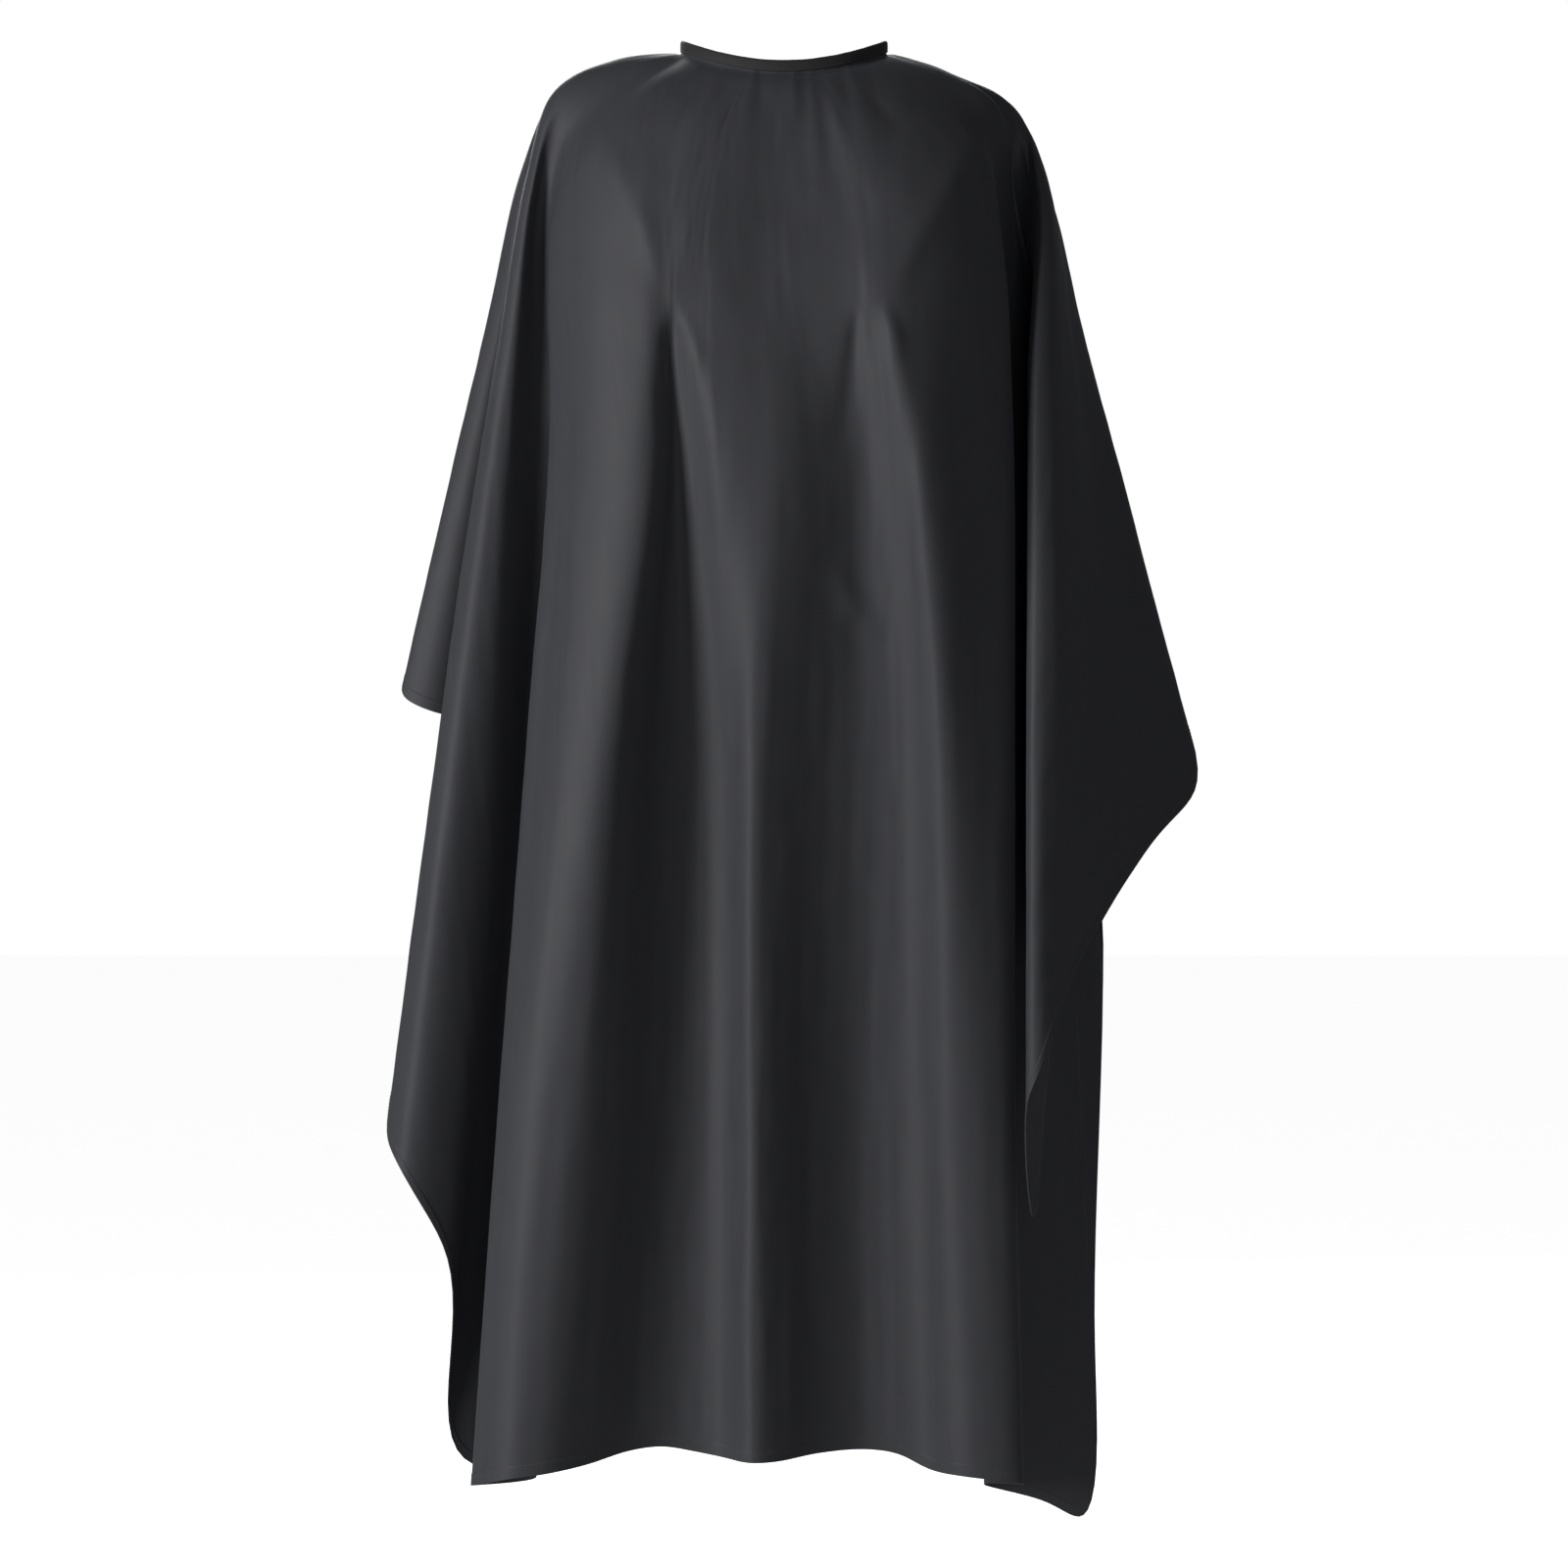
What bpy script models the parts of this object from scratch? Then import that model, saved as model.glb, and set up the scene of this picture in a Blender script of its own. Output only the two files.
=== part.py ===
"""Barber cape, as it hangs from a wearer's shoulders with its neck closed. Metres, Z up, front towards -Y.
The origin is the middle of the neck opening."""

import math

import bmesh
import bpy
from mathutils import Matrix, Vector

NAME = "barber_cape"
CM = 0.01
MM = 0.001

# Neck opening: an ellipse in plan, whose height dips at the throat.
NECK_X, NECK_Y = 89 * MM, 70 * MM
RIM_MEAN, RIM_DIP, RIM_SADDLE = -7.4 * MM, -8.8 * MM, -9.4 * MM
BAND_HEIGHT = 10 * MM
SLIT_ANGLE = 178

SHEET_THICK = 2.0 * MM
SHEET_ROWS = 20
SHEET_STEPS = 2
GAP = 0.3 * MM

# Binding: a folded tape with the sheet's edge inside it.
BINDING_HALF = 2.1 * MM
BINDING_SLOT = 1.3 * MM
SLOT_DEPTH = 6 * MM

# Folded tapes of the closure, measured outwards from the middle of the binding.
TAPE_THICK = 2.0 * MM
TAPE_WALL = 0.4 * MM
TAPE_HEIGHT = 12.5 * MM
STRIP_OUT = 3.2 * MM
TAB_OUT = 9.1 * MM
STRIP_ANGLES = (4.5, 47)
TAB_ROOT_ANGLE = -2.2
TAB_END_ANGLE = 22
TAB_RAMP_ANGLE = 5.6
STUD_ANGLES = (9, 17, 25, 33, 41)
SOCKET_COUNT = 2
SNAP_RADIUS = 4.5 * MM
STEM_RADIUS = 1.0 * MM
HOLE_RADIUS = 1.3 * MM

# Fold lines of the sheet: the angle round the neck in degrees (0 at the throat, minus on the side of -X),
# then eight points in cm from the neck to the hem.
FOLD_LINES = (
    # back, from the slit round to the shoulder
    (-178, ((-0.4, 8, -3.4), (-0.5, 9.5, -5), (-0.6, 11, -9), (-0.7, 12, -13),
            (-0.8, 12.6, -17), (-0.8, 12.9, -20), (-0.8, 13, -23), (-0.8, 13, -25.5))),
    (-164, ((-3, 8.2, -3.4), (-4.5, 10, -5.5), (-5.5, 11.8, -9.5), (-6.2, 13, -13.5),
            (-6.8, 13.6, -17.5), (-7.2, 13.9, -21), (-7.6, 14, -24), (-8, 14, -26.5))),
    (-150, ((-6, 8, -3), (-9.5, 10, -4.5), (-12, 11.5, -8.5), (-13.5, 12.2, -13),
            (-14.5, 12.5, -18), (-15.2, 12.6, -22.5), (-15.8, 12.6, -26.5), (-16.2, 12.5, -30))),
    (-136, ((-8.2, 6.4, -2.3), (-12.5, 8, -3), (-16.5, 9.2, -6.4), (-19, 9.6, -13),
            (-20.5, 9.6, -20), (-21.8, 9.5, -27), (-23, 9.3, -34), (-24, 9, -40))),
    (-124, ((-9.2, 5, -1.5), (-14, 6, -2.1), (-19, 6.6, -5.2), (-21.8, 6.8, -13),
            (-24, 6.9, -22), (-26.5, 6.8, -32), (-29, 6.5, -43), (-31, 6, -52))),
    # outer flap over the arm, ending at a back corner
    (-114, ((-9.6, 3.6, -0.9), (-14.5, 4.2, -1.6), (-20.2, 4.4, -4.5), (-23.4, 4.3, -11),
            (-26, 4.3, -22), (-28.6, 4.3, -33), (-31.4, 4.2, -45), (-34, 4, -56.8))),
    (-106, ((-9.7, 2.4, -0.9), (-14.6, 2.6, -1.5), (-20.4, 2.6, -4.4), (-22.9, 2.3, -11.5),
            (-24.6, 2.4, -22), (-26.6, 2.6, -33), (-28.9, 2.8, -45.5), (-31.2, 2.7, -58.6))),
    (-101, ((-9.7, 1.7, -0.9), (-14.6, 1.8, -1.5), (-20.3, 1.6, -4.4), (-21.8, 2, -11.5),
            (-22.4, 3.2, -22), (-23.2, 4.6, -34), (-23.8, 5.8, -47), (-24.4, 6.6, -60.5))),
    (-98, ((-9.7, 1.1, -0.9), (-14.6, 1.1, -1.5), (-20.2, 0.8, -4.4), (-21.6, 1.1, -11.5),
           (-21.8, 2.1, -22.5), (-22.4, 3, -35.5), (-22.8, 3.8, -50), (-23.2, 4.6, -65.5))),
    # fold over the forearm
    (-95, ((-9.7, 0.7, -0.9), (-14.6, 0.5, -1.5), (-20.2, 0.2, -4.4), (-22, 0.3, -11.5),
           (-22.9, 0.8, -23), (-24.2, 0.9, -38), (-25.6, 1, -55), (-27.2, 1.4, -72))),
    (-91, ((-9.6, -0.1, -1), (-14.5, -0.3, -1.5), (-20.2, -0.6, -4.5), (-22.6, -0.8, -12),
           (-24.8, -0.6, -25), (-27.9, -0.3, -43), (-31.3, -0.1, -67), (-35, 0.5, -94.5))),
    (-87, ((-9.7, -0.6, -1), (-14.6, -1.3, -1.6), (-20, -1.9, -4.6), (-22.5, -2.2, -12.5),
           (-24.5, -2.6, -26), (-27, -2.9, -46), (-30.1, -3.2, -72), (-33.3, -2.9, -98.8))),
    (-83, ((-9.6, -1.3, -1.2), (-14.3, -2.2, -2), (-19.4, -3, -5.2), (-21.9, -3.1, -13),
           (-23.4, -3.1, -28), (-25, -2.5, -50), (-27, -1.4, -78), (-29, -0.2, -107.5))),
    (-79, ((-9.5, -1.9, -1.3), (-14, -3, -2.6), (-18.8, -3.4, -6.2), (-21.4, -1.8, -14),
           (-21.9, -0.8, -30), (-22.6, 0.6, -55), (-24.4, 2.2, -88), (-29.2, 3.2, -124.5))),
    (-75, ((-9.3, -2.5, -1.6), (-13.4, -3.7, -3.2), (-18, -3.9, -7.2), (-20.4, -1.9, -15),
           (-19.6, -0.8, -32), (-18.9, 1.8, -58), (-19.4, 4.4, -90), (-21.6, 6, -126.6))),
    # front
    (-70, ((-9, -3.2, -2), (-12.8, -4.7, -4.2), (-17.2, -5.8, -8.8), (-19.9, -5, -16),
           (-20.4, -5.8, -36), (-22.5, -6.8, -63), (-24.7, -7.6, -93), (-27, -9, -125.2))),
    (-62, ((-8.6, -4.4, -2.5), (-12.4, -6.4, -5), (-16.5, -7.7, -9.6), (-18.5, -8.1, -17.5),
           (-18.7, -9.2, -36.5), (-20.8, -10.1, -63), (-23.6, -11.1, -93), (-25.6, -12, -124.6))),
    (-54, ((-7.9, -5.5, -3), (-11.6, -8, -6), (-14.8, -9.8, -11), (-15.7, -11.4, -20.5),
           (-16.4, -12.4, -37.5), (-18.8, -13.1, -63), (-21.6, -13.3, -93), (-23.4, -14, -123.9))),
    (-46, ((-7, -6.4, -3.6), (-9.8, -9.2, -7), (-12.1, -11.8, -13), (-11.8, -13.5, -21.5),
           (-11.7, -14.5, -38), (-15, -14.6, -63), (-17.7, -13.7, -93), (-20.2, -13.7, -123.5))),
    (-38, ((-6, -7.1, -4), (-8.4, -10.2, -8), (-10, -12.7, -15), (-10.1, -13.8, -23),
           (-10.1, -13.3, -38), (-12.7, -12.6, -63), (-14.5, -11.6, -93), (-16.6, -11.2, -123))),
    (-31, ((-5, -7.6, -4.3), (-7, -10.8, -8.4), (-8.9, -13, -15.6), (-9.4, -13.9, -23.5),
           (-9.3, -12, -38), (-11.1, -9.9, -63), (-12.1, -8.9, -93), (-13.5, -8.6, -122.3))),
    (-23, ((-4, -8, -4.5), (-5.8, -11, -8.6), (-7.6, -13.2, -16), (-8.4, -14, -24),
           (-8.4, -12, -38), (-8.9, -8.5, -63), (-9.5, -7.3, -93), (-10.5, -7.1, -122.1))),
    (-19, ((-3.4, -8.2, -4.6), (-5, -11, -8.7), (-6.7, -13.2, -16.1), (-7.2, -14.1, -24.2),
           (-7, -12.9, -38), (-6.9, -8.5, -63), (-7, -6.9, -93), (-7.7, -6.7, -122.6))),
    (-15, ((-2.8, -8.4, -4.7), (-4.2, -11.1, -8.8), (-5.8, -13.2, -16.2), (-6, -14.2, -24.4),
           (-5.4, -14.2, -38.5), (-4.9, -9.8, -63), (-4.9, -7.7, -93), (-5.2, -7.4, -123))),
    (-7, ((-1.4, -8.7, -4.9), (-2, -11, -9), (-2.9, -12.8, -16.4), (-2.8, -13.8, -24.2),
          (-1.9, -14.5, -38.5), (-2.7, -12.3, -63), (-2.9, -10.4, -93), (-2.9, -10.2, -123.1))),
    (-2, ((-0.4, -8.8, -4.9), (-0.5, -10.9, -9.1), (-0.9, -12.5, -16.4), (-0.5, -13.5, -24.1),
          (0.6, -14, -38.5), (-0.2, -11.2, -63), (-0.6, -9.3, -93), (-0.4, -9.1, -123.1))),
    (3, ((0.6, -8.8, -4.9), (0.8, -10.8, -9.1), (1, -12.4, -16.4), (1.6, -13.3, -24),
         (3.4, -12.6, -38.5), (3, -9.2, -63), (2.2, -6.9, -93), (2.6, -6.7, -122.8))),
    (14, ((2.4, -8.5, -4.8), (3.6, -10.9, -8.9), (5, -12.4, -16.4), (5.7, -13.3, -24),
          (6.6, -11.3, -38.5), (6.6, -7.8, -63), (6.3, -4.9, -93), (6.8, -4.6, -122.7))),
    (20, ((3.3, -8.3, -4.7), (4.9, -10.9, -8.7), (6.7, -12.6, -16.2), (7.3, -13.7, -24.2),
          (8.5, -11.9, -38.5), (9.2, -7.8, -63), (9.3, -4.9, -93), (9.9, -4.6, -123.1))),
    (25, ((4.2, -8, -4.5), (6.2, -10.8, -8.4), (8.4, -12.7, -16), (8.8, -13.9, -24.5),
          (10.2, -12.9, -38.5), (11.2, -8.6, -63), (11.6, -5.6, -93), (12.5, -5.4, -124.3))),
    (36, ((5.9, -7.2, -4), (8.6, -9.8, -7.8), (11.4, -12, -14.8), (11, -13.2, -24),
          (11.9, -13.7, -38.5), (13.5, -10.8, -63), (14, -8.2, -93), (15.2, -8.2, -124.5))),
    (48, ((7.2, -6.2, -3.5), (10.6, -8.6, -6.8), (14.6, -10, -12.8), (14.8, -11, -22),
          (16.2, -10.4, -37.5), (17, -9.1, -63), (17.5, -8.2, -93), (18.8, -8.4, -124.9))),
    (60, ((8.2, -5, -2.8), (12.2, -6.8, -5.6), (17, -7.4, -10.6), (18.9, -6.7, -19),
          (19.9, -6.8, -36), (20.1, -6.4, -62), (20.2, -6.2, -92.5), (20.9, -7, -125.4))),
    # deep valley, and the layer behind that ends at a front corner
    (70, ((8.9, -3.6, -2.1), (13, -5, -4.4), (17.2, -5.6, -8.4), (18.5, -4.4, -15.5),
          (18.9, -1.8, -33), (18.2, 0.2, -60), (17.2, 2, -92), (17.4, 3.4, -127))),
    (79, ((9.3, -2.5, -1.6), (13.6, -3.4, -3.5), (18.2, -3.8, -7), (19.3, -2.2, -14),
          (20.2, 2, -33), (21.4, 5, -60), (22.2, 5.6, -93), (23, 4.8, -128.6))),
    (84, ((9.5, -1.6, -1.4), (14, -2.2, -2.9), (18.8, -2.6, -6.2), (19.9, -0.4, -13.6),
          (22, 3.9, -33), (24, 6.6, -60), (25.6, 7.2, -95), (27, 5.4, -130.3))),
    (88, ((9.6, -1.1, -1.2), (14.1, -1.6, -2.8), (18.8, -2.1, -6), (19.8, 0.2, -13.4),
          (23, 5, -31), (25, 7.4, -54), (26.2, 8, -82), (27.6, 7.2, -110))),
    (92, ((9.7, -0.5, -1.1), (14.4, -0.9, -2.7), (19.1, -1.3, -5.8), (20.3, 0.9, -13),
          (23.9, 5.3, -28), (25.9, 8, -44), (27.3, 9, -59), (28.4, 9, -74))),
    (96, ((9.7, 0.1, -1.1), (14.5, -0.3, -2.7), (19.6, -0.6, -5.7), (21.1, 0.2, -13),
          (22.9, 1, -29), (24, 2, -46), (24.7, 2.4, -64), (24.4, 0.6, -83))),
    (98, ((9.7, 0.6, -1.1), (14.5, 0.4, -2.7), (20.1, 0.1, -5.6), (21.6, -0.8, -13),
          (21.9, -2.4, -30), (22.3, -3.2, -50), (22.4, -4, -75), (21.6, -6, -103.5))),
    # outer flap over the other arm
    (100, ((9.7, 1.1, -1.1), (14.5, 1, -2.7), (20.4, 0.8, -5.6), (21.9, -1.9, -13),
           (21.1, -5.2, -30), (20.9, -7, -50), (20.8, -8, -72), (20.8, -8, -93))),
    (103, ((9.7, 1.6, -1.1), (14.6, 1.6, -2.7), (20.5, 1.5, -5.6), (22.3, -2.6, -13),
           (21.7, -6.5, -30), (21.6, -8.2, -50), (21.5, -9.1, -71), (22, -8.7, -89.5))),
    (106, ((9.7, 2.1, -1.1), (14.6, 2.2, -2.7), (20.4, 2.3, -5.6), (23, -2, -13),
           (23.3, -5.8, -30), (23.8, -7.2, -48), (24.3, -7.2, -65), (24.6, -6.4, -82.4))),
    (111, ((9.7, 2.8, -1.1), (14.6, 3, -2.7), (20.3, 3.1, -5.6), (23.4, -0.2, -13),
           (24.6, -3, -28), (26, -3.4, -44), (27.3, -2.8, -60), (28.3, -1.8, -76))),
    (118, ((9.5, 3.8, -1.2), (14.4, 4.1, -2.7), (20, 4.1, -5.7), (23.4, 2.2, -13),
           (25.7, 0.8, -26), (28.3, 1, -42), (30.8, 1.6, -56), (32.7, 2.2, -69.8))),
    (126, ((9, 5, -1.4), (13.8, 5.5, -3), (19.6, 5.6, -6.3), (23.5, 5, -13),
           (26.4, 4.8, -24), (30.3, 5, -38), (34, 5.6, -52), (37.2, 6.2, -64.2))),
    (138, ((8, 6.5, -2.3), (12, 8.2, -3.6), (16.5, 9.2, -7.2), (19.6, 9.6, -13),
           (22, 9.8, -21), (24.6, 9.8, -30), (27.2, 9.6, -39), (29.4, 9.4, -47))),
    (150, ((6, 8, -3), (9.3, 10, -4.5), (12, 11.5, -8.5), (13.8, 12.2, -13),
           (15.2, 12.5, -18), (16.6, 12.6, -23), (17.8, 12.6, -28), (18.8, 12.5, -32.5))),
    (164, ((3, 8.2, -3.4), (4.5, 10, -5.5), (5.5, 11.8, -9.5), (6.2, 13, -13.5),
           (6.8, 13.6, -17.5), (7.2, 13.9, -21), (7.6, 14, -24), (8, 14, -26.5))),
    (178, ((0.4, 8, -3.4), (0.5, 9.5, -5), (0.6, 11, -9), (0.7, 12, -13),
           (0.8, 12.6, -17), (0.8, 12.9, -20), (0.8, 13, -23), (0.8, 13, -25.5))),
)

COLOURS = {
    "cloth": (0.045, 0.046, 0.05, 1),
    "binding": (0.022, 0.021, 0.023, 1),
    "tape": (0.028, 0.028, 0.03, 1),
    "interlining": (0.55, 0.54, 0.5, 1),
    "nickel": (0.62, 0.62, 0.6, 1),
}
METALS = ("nickel",)


def clear_scene():
    for obj in list(bpy.data.objects):
        bpy.data.objects.remove(obj)


def collection(name, hidden=False):
    made = bpy.data.collections.new(name)
    made.hide_render = hidden
    bpy.context.scene.collection.children.link(made)
    return made


def material(obj, look):
    made = bpy.data.materials.new(f"{obj.name}_{look}")
    made.use_nodes = True
    shader = made.node_tree.nodes["Principled BSDF"]
    shader.inputs["Base Color"].default_value = COLOURS[look]
    shader.inputs["Roughness"].default_value = 0.3 if look in METALS else 0.6
    shader.inputs["Metallic"].default_value = 1.0 if look in METALS else 0.0
    obj.data.materials.append(made)


def object_of(bm, name, home, look=None):
    mesh = bpy.data.meshes.new(name)
    bm.to_mesh(mesh)
    bm.free()
    obj = bpy.data.objects.new(name, mesh)
    home.objects.link(obj)
    if look:
        material(obj, look)
    return obj


def apply_modifiers(obj):
    graph = bpy.context.evaluated_depsgraph_get()
    obj.data = bpy.data.meshes.new_from_object(obj.evaluated_get(graph))
    obj.modifiers.clear()


def rim(angle, out=0.0, up=0.0):
    """A point at this angle round the neck, so far out from the middle of the binding and up from its
    top edge."""
    a = math.radians(angle)
    normal = Vector((NECK_Y * math.sin(a), -NECK_X * math.cos(a), 0)).normalized()
    top = RIM_MEAN + RIM_DIP * math.cos(a) + RIM_SADDLE * math.cos(2 * a)
    return Vector((NECK_X * math.sin(a), -NECK_Y * math.cos(a), top + up)) + normal * out


def rim_frame(angle, out, up):
    """Its X axis points out from the neck and its Z axis up."""
    a = math.radians(angle)
    x = Vector((NECK_Y * math.sin(a), -NECK_X * math.cos(a), 0)).normalized()
    z = Vector((0, 0, 1))
    y = z.cross(x)
    frame = Matrix((x, y, z)).transposed().to_4x4()
    return Matrix.Translation(rim(angle, out, up)) @ frame


def along(points, count):
    """Points spaced evenly on a smooth line through the given ones."""
    knots = [0.0]
    for a, b in zip(points, points[1:]):
        knots.append(knots[-1] + max((b - a).length, 1e-6) ** 0.5)
    ends = [points[0] * 2 - points[1], *points, points[-1] * 2 - points[-2]]
    knots = [knots[0] - (knots[1] - knots[0]), *knots, knots[-1] + (knots[-1] - knots[-2])]
    found = []
    for i in range(count):
        t = knots[1] + (knots[-2] - knots[1]) * i / (count - 1)
        k = min(max(j for j in range(1, len(knots) - 2) if knots[j] <= t + 1e-9), len(knots) - 3)
        found.append(smooth(ends[k - 1:k + 3], knots[k - 1:k + 3], t))
    return found


def smooth(p, k, t):
    """The Catmull-Rom curve through p[1] and p[2], with its knots."""
    def mix(a, b, ka, kb):
        return a * ((kb - t) / (kb - ka)) + b * ((t - ka) / (kb - ka))
    a1, a2, a3 = (mix(p[i], p[i + 1], k[i], k[i + 1]) for i in range(3))
    b1, b2 = mix(a1, a2, k[0], k[2]), mix(a2, a3, k[1], k[3])
    return mix(b1, b2, k[1], k[2])


def across(columns, steps):
    """More fold lines between the given ones, smooth from one to the next."""
    rows = []
    for points in zip(*columns):
        knots = [0.0]
        for a, b in zip(points, points[1:]):
            knots.append(knots[-1] + max((b - a).length, 1e-5) ** 0.5)
        knots = [-knots[1], *knots, 2 * knots[-1] - knots[-2]]
        points = [points[0] * 2 - points[1], *points, points[-1] * 2 - points[-2]]
        row = []
        for k in range(1, len(points) - 2):
            for s in range(steps):
                t = knots[k] + (knots[k + 1] - knots[k]) * s / steps
                row.append(smooth(points[k - 1:k + 3], knots[k - 1:k + 3], t))
        row.append(points[-2])
        rows.append(row)
    return rows


def cape_sheet(home):
    columns = []
    for angle, points in FOLD_LINES:
        top = [rim(angle, 0, SLOT_DEPTH * 0.75 - BAND_HEIGHT), rim(angle, 0.2 * MM, -BAND_HEIGHT - 2 * MM)]
        columns.append(top[:1] + along([top[1], *(Vector(p) * CM for p in points)], SHEET_ROWS))
    rows = across(columns, SHEET_STEPS)
    bm = bmesh.new()
    grid = [[bm.verts.new(p) for p in row] for row in rows]
    for upper, lower in zip(grid, grid[1:]):
        for i in range(len(upper) - 1):
            bm.faces.new((upper[i], lower[i], lower[i + 1], upper[i + 1])).smooth = True
    bmesh.ops.recalc_face_normals(bm, faces=bm.faces)
    obj = object_of(bm, "cape_sheet", home, "cloth")
    thick = obj.modifiers.new("Cloth thickness", "SOLIDIFY")
    thick.thickness = SHEET_THICK
    thick.offset = 0
    apply_modifiers(obj)
    return obj


def sweep(name, sections, home, look):
    """A solid through sections of as many points each. Two loops a section make a tube with open ends."""
    bm = bmesh.new()
    loops = [[[bm.verts.new(p) for p in loop] for loop in section] for section in sections]
    for first, second in zip(loops, loops[1:]):
        for a, b in zip(first, second):
            for i in range(len(a)):
                j = (i + 1) % len(a)
                bm.faces.new((a[i], a[j], b[j], b[i]))
    for end in (loops[0], loops[-1]):
        if len(end) == 1:
            bm.faces.new(end[0])
        else:
            for i in range(len(end[0])):
                j = (i + 1) % len(end[0])
                bm.faces.new((end[0][i], end[0][j], end[1][j], end[1][i]))
    bmesh.ops.recalc_face_normals(bm, faces=bm.faces)
    return object_of(bm, name, home, look)


def neck_binding(home):
    half, slot = BINDING_HALF, BINDING_SLOT
    low, high = -BAND_HEIGHT, 0
    slot_top, round_off = low + SLOT_DEPTH, 0.8 * MM
    profile = ((-half, low), (-slot, low), (-slot, slot_top), (slot, slot_top), (slot, low), (half, low),
               (half, high - round_off), (half - round_off, high), (round_off - half, high),
               (-half, high - round_off))
    turns = [-SLIT_ANGLE + 2 * SLIT_ANGLE * i / 60 for i in range(61)]
    return sweep("neck_binding", [[[rim(a, o, u) for o, u in profile]] for a in turns], home, "binding")


def box_loop(angle, middle, thick, height):
    centre = -BAND_HEIGHT / 2
    corners = ((-1, -1), (1, -1), (1, 1), (-1, 1))
    return [rim(angle, middle + sx * thick / 2, centre + sz * height / 2) for sx, sz in corners]


def tape(name, stations, home):
    """A folded tape, hollow and open at both ends, through (angle, middle) stations."""
    inner, inner_height = TAPE_THICK - 2 * TAPE_WALL, TAPE_HEIGHT - 2 * TAPE_WALL
    return sweep(name, [[box_loop(a, m, TAPE_THICK, TAPE_HEIGHT), box_loop(a, m, inner, inner_height)]
                        for a, m in stations], home, "tape")


def interlining(name, stations, home):
    inner = TAPE_THICK - 2 * TAPE_WALL - 2 * GAP
    height = TAPE_HEIGHT - 2 * TAPE_WALL - 2 * GAP
    return sweep(name, [[box_loop(a, m, inner, height)] for a, m in stations], home, "interlining")


def strip_stations(inset=0.0):
    start, end = STRIP_ANGLES
    count = 22
    middle = STRIP_OUT + TAPE_THICK / 2
    return [(-180 + start + inset + (end - start - 2 * inset) * i / count, middle) for i in range(count + 1)]


def tab_stations(inset=0.0):
    """The tab leaves the end of the binding, rises over the end of the stud strip and lies parallel to it."""
    low, high = BINDING_HALF + GAP + TAPE_THICK / 2, TAB_OUT + TAPE_THICK / 2
    first, last = TAB_ROOT_ANGLE + inset, TAB_END_ANGLE - inset
    made = []
    for i in range(23):
        turn = first + (last - first) * i / 22
        rise = min(max(turn / TAB_RAMP_ANGLE, 0), 1)
        rise = rise * rise * (3 - 2 * rise)
        made.append((-180 + turn, low + (high - low) * rise))
    return made


def turned(name, profile, place, home, look, segments=16):
    """A solid turned about its X axis, from (radius, along) points that end on the axis or make a ring."""
    bm = bmesh.new()
    verts = [bm.verts.new((x, radius, 0)) for radius, x in profile]
    for first, second in zip(verts, verts[1:]):
        bm.edges.new((first, second))
    if profile[0][0] > 0:
        bm.edges.new((verts[-1], verts[0]))
    obj = object_of(bm, name, home, look)
    screw = obj.modifiers.new("Turned", "SCREW")
    screw.axis = "X"
    screw.steps = screw.render_steps = segments
    screw.use_merge_vertices = True
    screw.merge_threshold = 0.00001
    screw.use_smooth_shade = True
    apply_modifiers(obj)
    fix = bmesh.new()
    fix.from_mesh(obj.data)
    bmesh.ops.recalc_face_normals(fix, faces=fix.faces)
    fix.to_mesh(obj.data)
    fix.free()
    obj.data.transform(place)
    obj.data.update()
    return obj


def punch(obj, angles, start, length, helpers):
    """Holes through a tape at these angles."""
    for angle in angles:
        bm = bmesh.new()
        bmesh.ops.create_cone(bm, cap_ends=True, segments=16, radius1=HOLE_RADIUS, radius2=HOLE_RADIUS,
                              depth=length)
        place = rim_frame(angle, start + length / 2, -BAND_HEIGHT / 2) @ Matrix.Rotation(math.pi / 2, 4, "Y")
        bmesh.ops.transform(bm, verts=bm.verts, matrix=place)
        cutter = object_of(bm, f"{obj.name}_hole", helpers)
        cutter.hide_render = True
        cutter.display_type = "WIRE"
        cut = obj.modifiers.new("Stem hole", "BOOLEAN")
        cut.operation = "DIFFERENCE"
        cut.solver = "EXACT"
        cut.object = cutter
    apply_modifiers(obj)


def snap_pair(index, angle, home):
    """A stud, and the flange and stem behind it."""
    middle = -BAND_HEIGHT / 2
    flange = BINDING_HALF + GAP
    stud = STRIP_OUT + TAPE_THICK + GAP
    stem_end = stud - flange + 0.45 * MM
    turned(f"stud_post_{index}", (
        (0, 0), (SNAP_RADIUS - 0.2 * MM, 0), (SNAP_RADIUS, 0.2 * MM), (SNAP_RADIUS, 0.5 * MM),
        (STEM_RADIUS, 0.5 * MM), (STEM_RADIUS, stem_end), (0, stem_end)),
        rim_frame(angle, flange, middle), home, "nickel")
    turned(f"stud_{index}", (
        (0, 0.85 * MM), (HOLE_RADIUS, 0.85 * MM), (HOLE_RADIUS, 0), (SNAP_RADIUS - 0.2 * MM, 0),
        (SNAP_RADIUS, 0.2 * MM), (SNAP_RADIUS - 0.2 * MM, 0.55 * MM), (2.3 * MM, 0.6 * MM),
        (1.9 * MM, 0.8 * MM), (1.85 * MM, 1.5 * MM), (1.4 * MM, 2 * MM), (0, 2.1 * MM)),
        rim_frame(angle, stud, middle), home, "nickel")


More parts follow.
